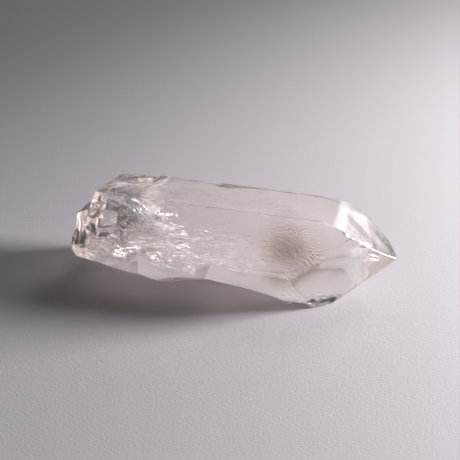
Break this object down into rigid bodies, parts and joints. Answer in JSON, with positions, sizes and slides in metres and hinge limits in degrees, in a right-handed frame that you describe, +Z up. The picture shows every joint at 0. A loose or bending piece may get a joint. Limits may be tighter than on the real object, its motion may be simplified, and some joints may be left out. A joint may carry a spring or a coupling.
{
  "type": "quartz crystal",
  "caption": "Clear quartz point lying on a prism face, with a faceted tip and a broken root, for display as a specimen.",
  "frame": {"origin": "on the surface that the crystal rests on, under the middle of its box", "axes": "+X along the c axis towards the point, +Y away from the viewer, +Z up"},
  "size_m": [0.0604, 0.0216, 0.0186],
  "materials": {
    "quartz": "clear and glossy on its crystal faces, slightly warm in tint, cloudy and torn towards the broken root"
  },
  "bodies": {
    "root": {"quartz_crystal": "quartz"}
  },
  "joints": []
}
